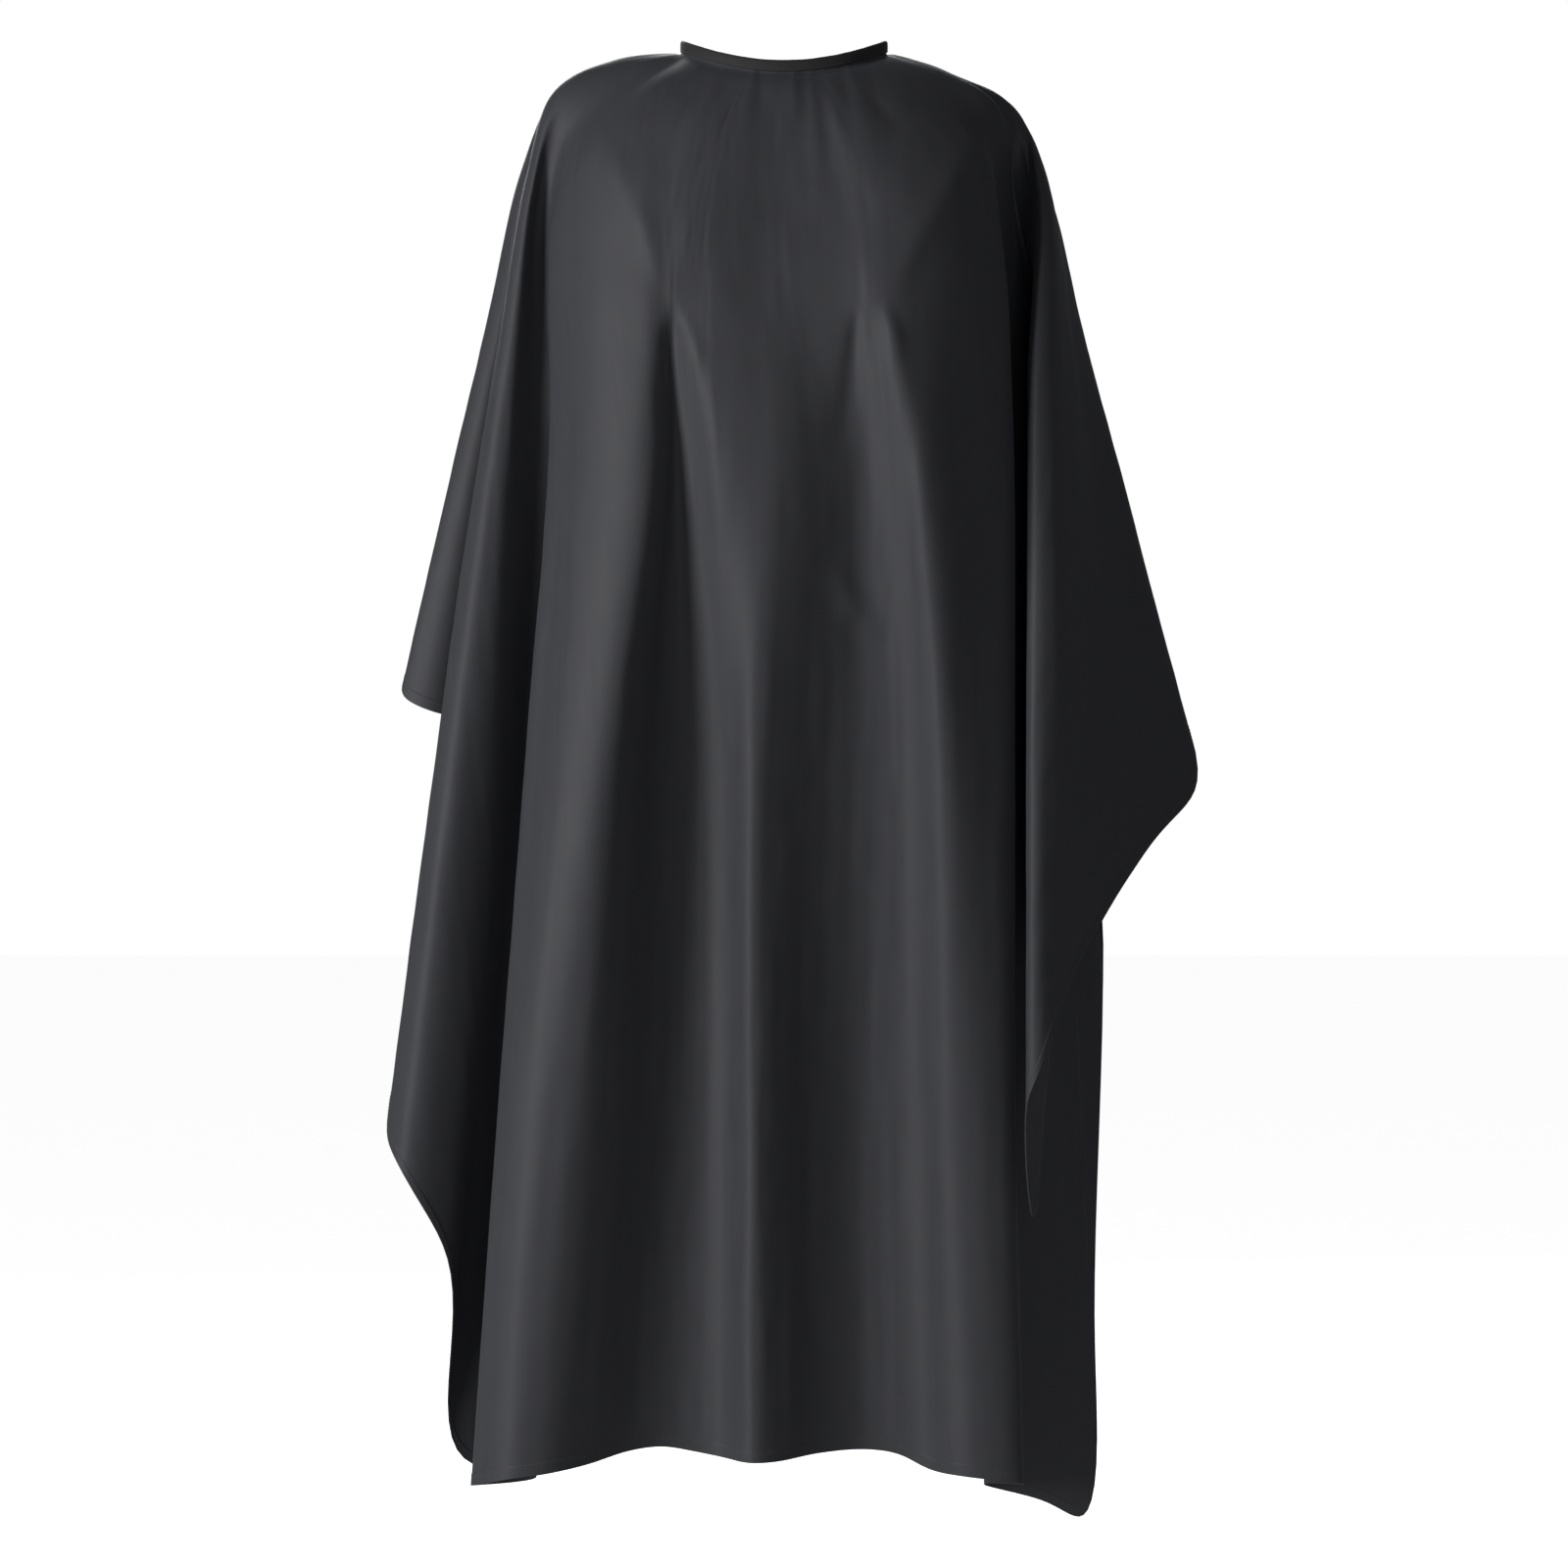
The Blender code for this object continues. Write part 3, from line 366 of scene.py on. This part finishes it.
def wrinkle(grid):
    """Faint ripples of handled cloth: long ones down the folds, short ones across, none at the sewn edges."""
    down = np.linspace(0, 1, grid.shape[0])[:, None]
    shape = grid.shape[:2]
    height = 0.4 * soft_noise(shape, (9, 170)) * np.clip(down * 2.5 - 0.4, 0, 1)
    height = height + 0.25 * soft_noise(shape, (34, 130))
    height += 0.9 * soft_noise(shape, (34, 40)) * np.exp(-((down - 0.12) / 0.08) ** 2)
    sewn = np.clip(down * 18, 0, 1) * np.clip((1 - down) * 16, 0.25, 1)
    grid += normals_of(grid) * (height * sewn * MM)[..., None]
    return grid


def mesh_of(name, verts, faces, material, uvs=None, smooth=True):
    mesh = bpy.data.meshes.new(name)
    mesh.from_pydata(np.asarray(verts).reshape(-1, 3).tolist(), [], [tuple(map(int, f)) for f in faces])
    mesh.update()
    mesh.polygons.foreach_set("use_smooth", [smooth] * len(mesh.polygons))
    if uvs is not None:
        layer = mesh.uv_layers.new(name="UVMap")
        layer.data.foreach_set("uv", np.asarray(uvs, np.float32).ravel())
    obj = bpy.data.objects.new(name, mesh)
    bpy.context.scene.collection.objects.link(obj)
    mesh.materials.append(material)
    return obj


def grid_faces(rows, cols):
    i, j = np.meshgrid(np.arange(rows - 1), np.arange(cols - 1), indexing="ij")
    a = i * cols + j
    return np.stack([a, a + cols, a + cols + 1, a + 1], axis=2).reshape(-1, 4)


def cloth_uvs(grid, faces):
    """Texture places in metres: along the rows from the middle of the front, and down the columns."""
    step = np.linalg.norm(np.diff(grid, axis=1), axis=2)
    u = np.concatenate([np.zeros((len(grid), 1)), np.cumsum(step, axis=1)], axis=1)
    u -= u[:, [np.searchsorted(COLUMN_ANGLES, 0)]]
    step = np.linalg.norm(np.diff(grid, axis=0), axis=2)
    v = np.concatenate([np.zeros((1, grid.shape[1])), np.cumsum(step, axis=0)])
    flat = np.stack([u.ravel(), v.ravel()], axis=1)
    return flat[faces.ravel()]


def sweep(name, sections, material):
    """A closed strip through sections[n, m] of points, with its ends drawn in and capped. Texture places are
    in metres, along it and round it."""
    sections = np.asarray(sections)
    for end, inner in ((0, 1), (-1, -2)):
        lead = (sections[end] - sections[inner]).mean(axis=0)
        lead *= 0.5 * MM / np.linalg.norm(lead)
        middle = sections[end].mean(axis=0)
        cap = middle + (sections[end] - middle) * 0.86 + lead
        sections = np.concatenate([cap[None], sections] if end == 0 else [sections, cap[None]])
    n, m = sections.shape[:2]
    i, j = np.meshgrid(np.arange(n - 1), np.arange(m), indexing="ij")
    i, j = i.ravel(), j.ravel()
    k = (j + 1) % m
    faces = np.stack([i * m + j, i * m + k, (i + 1) * m + k, (i + 1) * m + j], axis=1)
    along = run_of(sections.mean(axis=1))
    ring = sections[n // 2]
    round_ = run_of(np.concatenate([ring, ring[:1]]))
    corners = ((0, 0), (0, 1), (1, 1), (1, 0))
    uvs = np.stack([np.stack([along[i + di], round_[j + dj]], axis=1) for di, dj in corners], axis=1)
    uvs = uvs.reshape(-1, 2)
    caps = [tuple(range(m))[::-1], tuple(range((n - 1) * m, n * m))]
    uvs = np.concatenate([uvs, np.zeros((2 * m, 2))])
    obj = mesh_of(name, sections, [*faces, *caps], material, uvs)
    bm = bmesh.new()
    bm.from_mesh(obj.data)
    bmesh.ops.recalc_face_normals(bm, faces=bm.faces)
    bm.to_mesh(obj.data)
    bm.free()
    return obj


def stitches(name, lines, material):
    """Lockstitches along (points, outward normals) lines: threads that dive into the cloth at both ends."""
    verts, faces = [], []
    for line, normals in lines:
        run = run_of(line)
        centre = np.arange(STITCH_PITCH, run[-1] - STITCH_PITCH, STITCH_PITCH)
        read = [np.stack([np.interp(centre + off, run, line[:, a]) for a in range(3)], axis=1)
                for off in (-STITCH_LONG / 2, 0, STITCH_LONG / 2)]
        out = np.stack([np.interp(centre, run, normals[:, a]) for a in range(3)], axis=1)
        out /= np.linalg.norm(out, axis=1, keepdims=True)
        side = np.cross(read[2] - read[0], out)
        side /= np.maximum(np.linalg.norm(side, axis=1, keepdims=True), 1e-9)
        first, last = (read[0] - out * 2 * THREAD, read[2] - out * 2 * THREAD)
        rings = []
        for share in (0.25, 0.75):
            mid = read[0] * (1 - share) + read[2] * share
            rings += [mid + side * THREAD, mid + out * 1.7 * THREAD, mid - side * THREAD, mid - out * THREAD]
        block = np.stack([first, *rings, last], axis=1)
        for k in range(len(centre)):
            start = len(verts) * block.shape[1]
            verts.append(block[k])
            near, far, tip = start + 1, start + 5, start + 9
            turn = [(q, (q + 1) % 4) for q in range(4)]
            faces += [(start, near + q, near + r) for q, r in turn]
            faces += [(near + q, far + q, far + r, near + r) for q, r in turn]
            faces += [(tip, far + r, far + q) for q, r in turn]
    return mesh_of(name, np.array(verts), faces, material)


def shader(name, **inputs):
    mat = bpy.data.materials.new(name)
    mat.use_nodes = True
    nodes, links = mat.node_tree.nodes, mat.node_tree.links
    bsdf = nodes["Principled BSDF"]
    for key, value in inputs.items():
        bsdf.inputs[key.replace("_", " ")].default_value = value
    return mat, nodes, links, bsdf


def noise(nodes, links, place, stretch, detail=3.0):
    """A noise texture of so many features per metre along each axis of the texture places."""
    mapping = nodes.new("ShaderNodeMapping")
    mapping.inputs["Scale"].default_value = stretch
    texture = nodes.new("ShaderNodeTexNoise")
    texture.inputs["Scale"].default_value = 1.0
    texture.inputs["Detail"].default_value = detail
    links.new(place, mapping.inputs["Vector"])
    links.new(mapping.outputs[0], texture.inputs["Vector"])
    return texture.outputs["Fac"]


def threads(nodes, links, place, direction, pitch):
    """Parallel threads, a pitch apart in metres."""
    wave = nodes.new("ShaderNodeTexWave")
    wave.bands_direction = direction
    wave.inputs["Scale"].default_value = 2 * math.pi / (20 * pitch)
    links.new(place, wave.inputs["Vector"])
    return wave.outputs["Fac"]


def combine(nodes, links, how, a, b):
    node = nodes.new("ShaderNodeMath")
    node.operation = how
    for socket, value in zip(node.inputs, (a, b)):
        if isinstance(value, (int, float)):
            socket.default_value = value
        else:
            links.new(value, socket)
    return node.outputs[0]


def spread(nodes, links, value, low, high):
    """A texture's value from 0.3 to 0.7, mapped to a range."""
    node = nodes.new("ShaderNodeMapRange")
    for key, number in (("From Min", 0.3), ("From Max", 0.7), ("To Min", low), ("To Max", high)):
        node.inputs[key].default_value = number
    links.new(value, node.inputs["Value"])
    return node.outputs["Result"]


def tint(nodes, links, factor, dark, light):
    ramp = nodes.new("ShaderNodeValToRGB")
    ramp.color_ramp.elements[0].position, ramp.color_ramp.elements[1].position = 0.3, 0.7
    ramp.color_ramp.elements[0].color, ramp.color_ramp.elements[1].color = (*dark, 1), (*light, 1)
    links.new(factor, ramp.inputs["Fac"])
    return ramp.outputs["Color"]


def bump(nodes, links, height, strength, distance):
    node = nodes.new("ShaderNodeBump")
    node.inputs["Strength"].default_value = strength
    node.inputs["Distance"].default_value = distance
    links.new(height, node.inputs["Height"])
    return node


def fabric(name, colour, vary, rough, pitch, weave, slub, streak=(240, 9, 1), sheen=0.1, ribs=False):
    """Woven cloth: threads both ways (or ribs across), slubs along the warp, faint marks from handling."""
    mat, nodes, links, bsdf = shader(name, Sheen_Weight=sheen, Sheen_Roughness=0.35,
                                     Sheen_Tint=(0.75, 0.82, 1, 1), Specular_IOR_Level=0.3)
    place = nodes.new("ShaderNodeUVMap").outputs["UV"]
    long_marks = noise(nodes, links, place, streak)
    marks = noise(nodes, links, place, (38, 30, 1), 5.0)
    both = combine(nodes, links, "ADD", combine(nodes, links, "MULTIPLY", long_marks, 0.6),
                   combine(nodes, links, "MULTIPLY", marks, 0.4))
    shade = tint(nodes, links, both, [c * (1 - vary) for c in colour], [c * (1 + vary) for c in colour])
    links.new(shade, bsdf.inputs["Base Color"])
    links.new(spread(nodes, links, both, rough - 0.05, rough + 0.05), bsdf.inputs["Roughness"])
    warp = threads(nodes, links, place, "X", pitch)
    height = warp
    if not ribs:
        height = combine(nodes, links, "MAXIMUM", warp, threads(nodes, links, place, "Y", pitch))
    fine = bump(nodes, links, height, 0.5, weave)
    broad = bump(nodes, links, both, 0.6, slub)
    links.new(fine.outputs[0], broad.inputs["Normal"])
    links.new(broad.outputs[0], bsdf.inputs["Normal"])
    return mat


def plain_noise_material(name, colour, rough, grain, depth, **inputs):
    """Thread, felt or metal: grain in its colour, roughness and height, from the object's own coordinates."""
    mat, nodes, links, bsdf = shader(name, **inputs)
    place = nodes.new("ShaderNodeTexCoord").outputs["Object"]
    fine = noise(nodes, links, place, (grain, grain, grain))
    shade = tint(nodes, links, fine, [c * 0.8 for c in colour], [c * 1.15 for c in colour])
    links.new(shade, bsdf.inputs["Base Color"])
    links.new(spread(nodes, links, fine, rough * 0.75, rough * 1.3), bsdf.inputs["Roughness"])
    links.new(bump(nodes, links, fine, 0.5, depth).outputs[0], bsdf.inputs["Normal"])
    return mat


CLOTH = fabric("Satin polyester", (0.0535, 0.055, 0.062), vary=0.07, rough=0.6,
               pitch=0.42 * MM, weave=0.03 * MM, slub=0.09 * MM)
BINDING = fabric("Bias binding", (0.03, 0.0295, 0.031), vary=0.12, rough=0.72,
                 pitch=0.5 * MM, weave=0.06 * MM, slub=0.1 * MM, streak=(900, 120, 1), sheen=0.2)
TAPE = fabric("Grosgrain tape", (0.03, 0.03, 0.032), vary=0.1, rough=0.7,
              pitch=0.8 * MM, weave=0.12 * MM, slub=0.08 * MM, streak=(700, 500, 1), sheen=0.2, ribs=True)
THREAD_LOOK = plain_noise_material("Polyester thread", (0.045, 0.045, 0.05), rough=0.5,
                                   grain=2600, depth=0.03 * MM, Sheen_Weight=0.3)
FELT = plain_noise_material("Felted interlining", (0.5, 0.49, 0.45), rough=0.9, grain=1400, depth=0.1 * MM)
NICKEL = plain_noise_material("Nickel plate", (0.66, 0.65, 0.62), rough=0.27,
                              grain=450, depth=0.001 * MM, Metallic=1.0)

COLUMN_ANGLES = np.concatenate([
    *(np.linspace(a[0], b[0], STEPS, endpoint=False) for a, b in zip(FOLD_LINES, FOLD_LINES[1:])),
    [FOLD_LINES[-1][0]]])
FRONT = (-72, 62)


def press_creases(grid):
    """Each crease: its path, then its widths and its depths at the path's points."""
    folds_from_the_chest = (
        (((-9.4, -24.5), (-9.5, -27), (-9.7, -32), (-10, -41)), (0.5, 0.9, 1.3, 2), (0, -0.6, -0.5, 0)),
        (((-8.4, -25), (-7.4, -29), (-6.6, -35), (-5.8, -45)), (0.6, 1, 1.3, 2), (0, 0.45, 0.35, 0)),
        (((6.2, -24.5), (6, -27), (5.6, -32), (4.8, -38)), (0.4, 0.6, 0.9, 1.4), (0, -0.35, -0.3, 0)),
        (((8.4, -24), (9.2, -27), (10.2, -34), (11, -44)), (0.5, 0.9, 1.3, 2), (0, 0.45, 0.35, 0)))
    drags_from_the_shoulders = (
        (((-18, -5.5), (-14.8, -12), (-12.2, -17.5), (-10, -23)), (1.4, 1.5, 1.3, 0.8), (0, 0.3, 0.3, 0.05)),
        (((18, -7), (14.5, -13), (11.8, -18), (9, -24)), (1.4, 1.4, 1.2, 0.7), (0, 0.24, 0.2, 0)))
    for path, width, depth in folds_from_the_chest + drags_from_the_shoulders:
        crease(grid, FRONT, path, width, depth)
    # gathers below the neckline: where, how far down and how deep
    for x, reach, deep in (
            (-6.4, 4, 0.5), (-3.1, 6, 0.6), (0.9, 5, 0.8), (2.6, 12, 1.2), (4.2, 8, 1), (6.6, 5, 0.6)):
        middle, low = -5 - reach / 3, -6 - reach
        crease(grid, FRONT, ((x * 0.8, -2.6), (x, middle), (x * 1.3, low)), (0.3, 0.7, 1.2),
               (0.06, 0.12 * deep, 0))
        crease(grid, FRONT, ((x + 0.9, -2.4), (x + 1.2, middle), (x * 1.3 + 1.6, low)), (0.4, 0.8, 1.4),
               (-0.05, -0.14 * deep, 0))
    # tuck at the left and pucker at the right of the front
    crease(grid, FRONT, ((-19.9, -50), (-21.4, -53.5), (-23, -57.5)), (0.3, 0.5, 0.4), (0, 0.35, 0), "sharp")
    crease(grid, FRONT, ((4.2, -46), (6, -50), (8.6, -53)), (0.8, 1.2, 0.8), (0, 0.3, 0))


def cape_cloth():
    grid = even_rows(relax(cloth_grid(), RELAX_ROUNDS))
    press_creases(grid)
    grid = fine_sides(wrinkle(grid))
    faces = grid_faces(*grid.shape[:2])
    cape = mesh_of("cape_cloth", grid, faces, CLOTH, cloth_uvs(grid, faces))
    rows, cols = grid.shape[:2]
    doubled = np.zeros((rows, cols), bool)
    band = int((EDGE_BAND <= HEM_WIDTH + 1e-6).sum())
    doubled[-band:] = doubled[:, :band] = doubled[:, -band:] = True
    group = cape.vertex_groups.new(name="hem")
    group.add(np.flatnonzero(doubled.ravel()).tolist(), 1.0, "REPLACE")
    solid = cape.modifiers.new("Thickness", "SOLIDIFY")
    solid.thickness = HEM_THICK
    solid.offset = 0
    solid.vertex_group = "hem"
    solid.thickness_vertex_group = CLOTH_THICK / HEM_THICK
    return cape, grid


def hem_stitches(grid):
    """Rows of stitches on both faces of the hem, along the bottom and up the two edges of the slit."""
    out = normals_of(grid)
    inset = len(EDGE_BAND) - 1 - SEAM_IN_BAND
    lines = []
    side = slice(SEAM_FIRST_ROW, -inset)
    for seam in ((-1 - inset,), (side, inset), (side, -1 - inset)):
        points, normals = grid[seam], out[seam]
        for sign in (1, -1):
            lines.append((points + normals * sign * HEM_THICK * 0.5, normals * sign))
    return stitches("hem_stitches", lines, THREAD_LOOK)


def rim_line(angles, out, up):
    """A stitch line on the binding or a tape, and the way it faces."""
    points = np.array([rim(a, out, up) for a in angles])
    facing = np.array([outward(a) for a in angles]) * (1 if out > 0 else -1)
    return points, facing


def neck_binding():
    half, slot, low = BINDING_HALF, BINDING_SLOT, -BAND_HEIGHT
    side = ((half - 0.25 * MM, low), (half, low + 0.35 * MM), (half - 0.05 * MM, low + 1.0 * MM),
            (half - 0.25 * MM, low + 1.5 * MM), (half, low + 2.2 * MM), (half, low + 5 * MM),
            (half - 0.1 * MM, -2 * MM), (half - 0.6 * MM, -0.6 * MM), (half - 1.3 * MM, -0.12 * MM))
    profile = [*side, (0, 0), *((-o, u) for o, u in side[::-1]),
               (-slot, low), (-slot, SLOT_TOP), (slot, SLOT_TOP), (slot, low)]
    angles = np.linspace(-SLIT_ANGLE, SLIT_ANGLE, BINDING_STATIONS)
    puff = soft_noise((BINDING_STATIONS, 2), (70, 1))[:, 0] * 0.12 * MM
    sections = [[list(rim(a, o, u + rise * (u > -8 * MM))) for o, u in profile]
                for a, rise in zip(angles, puff)]
    binding = sweep("neck_binding_tape", sections, BINDING)
    up = -BAND_HEIGHT + 1.5 * MM
    lines = [rim_line(angles, sign * (half - 0.25 * MM), up) for sign in (1, -1)]
    return binding, stitches("binding_stitches", lines, THREAD_LOOK)


def closure_tape(name, stations):
    """A folded tape with rounded edges through (angle, middle) stations, and its rows of edge stitches."""
    half, tall, mid = TAPE_THICK / 2, TAPE_HEIGHT / 2, -BAND_HEIGHT / 2
    corner = ((1, -0.84), (0.7, -0.96), (0, -1), (-0.7, -0.96), (-1, -0.84), (-0.86, -0.74), (-1, -0.62),
              (-1, 0))
    profile = [(o * half, u * tall) for o, u in corner] + [(-o * half, -u * tall) for o, u in corner]
    sections = [[list(rim(a, m + o, mid + u)) for o, u in profile] for a, m in stations]
    obj = sweep(name, sections, TAPE)
    lines = []
    for sign in (1, -1):
        for edge in (-0.74, 0.74):
            points = np.array([rim(a, m + sign * half * 0.9, mid + edge * tall) for a, m in stations])
            facing = np.array([outward(a) for a, _ in stations]) * sign
            lines.append((points, facing))
    return obj, stitches(name + "_stitches", lines, THREAD_LOOK)


def strip_stations():
    middle = STRIP_OUT + TAPE_THICK / 2
    return [(-180 + a, middle) for a in np.linspace(*STRIP_ANGLES, TAPE_STATIONS)]


def tab_stations():
    low, high = BINDING_HALF + GAP + TAPE_THICK / 2, TAB_OUT + TAPE_THICK / 2
    made = []
    for turn in np.linspace(*TAB_ANGLES, TAPE_STATIONS):
        rise = min(max(turn / TAB_RAMP_ANGLE, 0), 1)
        made.append((-180 + turn, low + (high - low) * rise * rise * (3 - 2 * rise)))
    return made


cape, grid = cape_cloth()
hem = hem_stitches(grid)
binding, binding_seam = neck_binding()
strip, strip_seam = closure_tape("stud_strip_tape", strip_stations())
tab, tab_seam = closure_tape("closure_tab_tape", tab_stations())
for piece, body, node, look in (
        (cape, "cape", "cape_sheet", "cloth"), (hem, "cape", None, "cloth"),
        (binding, "cape", "neck_binding", "binding"), (binding_seam, "cape", None, "binding"),
        (strip, "cape", "stud_strip", "tape"), (strip_seam, "cape", None, "tape"),
        (tab, "tab", "closure_tab", "tape"), (tab_seam, "tab", None, "tape")):
    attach(piece, body)
    if node:
        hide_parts(node)

for node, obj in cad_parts.items():
    look = FELT if "interlining" in node else NICKEL if node.startswith(("stud_", "socket")) else None
    if look and not obj.hide_render:
        obj.data.materials.clear()
        obj.data.materials.append(look)

# Floor and light
bpy.context.scene.view_settings.view_transform = "Standard"
bpy.ops.mesh.primitive_plane_add(size=40, location=(0, 0, CAD_BOX[0][2] - FLOOR_BELOW))
floor = bpy.context.object
floor_mat, nodes, links, bsdf = shader("Studio white", Base_Color=(0.8, 0.8, 0.8, 1), Roughness=0.9)
bsdf.inputs["Emission Color"].default_value = (1, 1, 1, 1)
bsdf.inputs["Emission Strength"].default_value = 0.9
plain = nodes.new("ShaderNodeBsdfDiffuse")
plain.inputs[0].default_value = (0.35, 0.35, 0.35, 1)
ray = nodes.new("ShaderNodeLightPath")
mix = nodes.new("ShaderNodeMixShader")
links.new(ray.outputs["Is Camera Ray"], mix.inputs[0])
links.new(plain.outputs[0], mix.inputs[1])
links.new(bsdf.outputs[0], mix.inputs[2])
links.new(mix.outputs[0], nodes["Material Output"].inputs[0])
floor.data.materials.append(floor_mat)

world = bpy.data.worlds.new("Studio")
bpy.context.scene.world = world
world.use_nodes = True
nodes, links = world.node_tree.nodes, world.node_tree.links
ray = nodes.new("ShaderNodeLightPath")
level = nodes.new("ShaderNodeMix")
level.inputs["A"].default_value = AMBIENT
level.inputs["B"].default_value = 1.0
links.new(ray.outputs["Is Camera Ray"], level.inputs["Factor"])
links.new(level.outputs["Result"], nodes["Background"].inputs[1])
nodes["Background"].inputs[0].default_value = (1, 1, 1, 1)


def area_light(name, place, target, size, power):
    data = bpy.data.lights.new(name, "AREA")
    data.shape = "RECTANGLE"
    data.size, data.size_y = size
    data.energy = power
    light = bpy.data.objects.new(name, data)
    bpy.context.scene.collection.objects.link(light)
    light.location = place
    light.rotation_euler = (Vector(target) - Vector(place)).to_track_quat("-Z", "Y").to_euler()


area_light("Key", (-2.8, -2.2, -0.1), (0, 0, -0.65), (0.8, 2.2), 92)
area_light("Fill", (0.9, -3.9, -0.5), (0.1, 0, -0.65), (1.6, 1.6), 15)
area_light("Back key", (-0.5, 2.9, 1.1), (0, 0, -0.6), (1.8, 1.8), 84)

camera_data = bpy.data.cameras.new("Camera")
camera = bpy.data.objects.new("Camera", camera_data)
bpy.context.scene.collection.objects.link(camera)
camera.location = (0, -CAMERA_AWAY, CAMERA_HEIGHT)
camera.rotation_euler = (math.pi / 2, 0, 0)
camera_data.sensor_width = SENSOR_WIDTH
camera_data.lens = SENSOR_WIDTH * CAMERA_AWAY / VIEW_HEIGHT
bpy.context.scene.camera = camera
